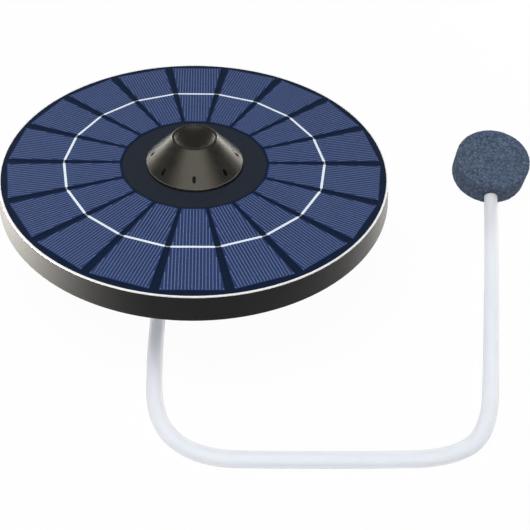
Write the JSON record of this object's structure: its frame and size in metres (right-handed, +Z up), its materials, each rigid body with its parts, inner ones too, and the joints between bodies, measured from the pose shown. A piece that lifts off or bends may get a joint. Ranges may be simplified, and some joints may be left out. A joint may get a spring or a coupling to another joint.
{
  "type": "solar pond air pump",
  "caption": "Round floating solar air pump: wedge cells round a vented cone, a pump pot under a foam float, and an air hose that leads to a round air stone.",
  "frame": {"origin": "on the floor under the middle of the round tray, level with the bottoms of the feet", "axes": "+Z up, square to the solar panel; -Y towards the side where the hose leaves; +X towards the side where the air stone lies"},
  "size_m": [0.2374, 0.1983, 0.0587],
  "materials": {
    "tray_plastic": "satin",
    "cone_plastic": "satin",
    "panel_backing": "satin",
    "cell_blue": "gloss",
    "ribbon_tin": "satin",
    "seal_white": "satin",
    "float_foam": "matte",
    "open_foam": "matte",
    "seal_rubber": "matte",
    "hose_silicone": "satin",
    "stone_grit": "matte",
    "nipple_white": "satin",
    "barb_plastic": "satin",
    "button_plastic": "satin",
    "pump_acetal": "satin",
    "valve_rubber": "satin",
    "plated_steel": "satin",
    "core_steel": "satin",
    "coil_copper": "gloss",
    "bearing_bronze": "satin",
    "magnet_ferrite": "matte",
    "cap_nylon": "satin",
    "cell_foil": "satin",
    "board_green": "gloss",
    "chip_black": "matte",
    "plunger_grey": "satin"
  },
  "bodies": {
    "hull": {"air_hose": "hose_silicone", "air_stone": "stone_grit", "barb_nut": "barb_plastic", "barb_seal": "seal_rubber", "battery_cell": "cell_foil", "battery_pads": "open_foam", "bottom_cover": "tray_plastic", "button_seal": "seal_rubber", "cell_ribbon": "ribbon_tin", "circuit_board": "board_green", "circuit_parts": "chip_black", "cone_cap": "cone_plastic", "cover_screws": "plated_steel", "cover_seal": "seal_rubber", "cylinder_plate": "pump_acetal", "diaphragm": "valve_rubber", "float_tray": "tray_plastic", "foam_float": "float_foam", "housing_screws": "plated_steel", "housing_seal": "seal_rubber", "inlet_valves": "valve_rubber", "inner_hose": "hose_silicone", "intake_filter": "open_foam", "motor_brushes": "bearing_bronze", "motor_bushes": "bearing_bronze", "motor_can": "plated_steel", "motor_cushion": "seal_rubber", "motor_end_cap": "cap_nylon", "motor_magnets": "magnet_ferrite", "motor_screws": "plated_steel", "outlet_barb": "barb_plastic", "outlet_valve": "valve_rubber", "panel_board": "panel_backing", "panel_seal": "seal_white", "pivot_ball": "plated_steel", "pump_frame": "pump_acetal", "pump_head": "pump_acetal", "pump_housing": "tray_plastic", "pump_pad": "seal_rubber", "pump_screws": "plated_steel", "rubber_feet": "seal_rubber", "solar_cells": "cell_blue", "stone_nipple": "nipple_white", "switch_body": "chip_black", "valve_plate": "pump_acetal"},
    "rotor": {"motor_shaft": "plated_steel", "armature": "core_steel", "armature_coils": "coil_copper", "commutator": "coil_copper", "crank": "pump_acetal", "crank_pin": "plated_steel"},
    "wobble": {"wobble_plate": "pump_acetal"},
    "button": {"power_button": "button_plastic", "switch_plunger": "plunger_grey"}
  },
  "joints": [
    {"name": "rotor_spin", "type": "hinge", "parent": "hull", "child": "rotor", "pos_m": [0, 0, 0.0345], "axis": [0, 0, 1], "continuous": true},
    {"name": "wobble_rock", "type": "hinge", "parent": "rotor", "child": "wobble", "pos_m": [0, 0, 0.0208], "axis": [0.1392, 0, 0.9903], "continuous": true, "deforming": ["diaphragm"]},
    {"name": "button_press", "type": "slide", "parent": "hull", "child": "button", "axis": [0, -1, 0], "range_m": [0, 0.001], "stiffness_N_per_m": 1200, "springref_m": -0.0005}
  ],
  "couplings": [
    {"joint": "wobble_rock", "follows": "rotor_spin", "ratio": -1}
  ]
}
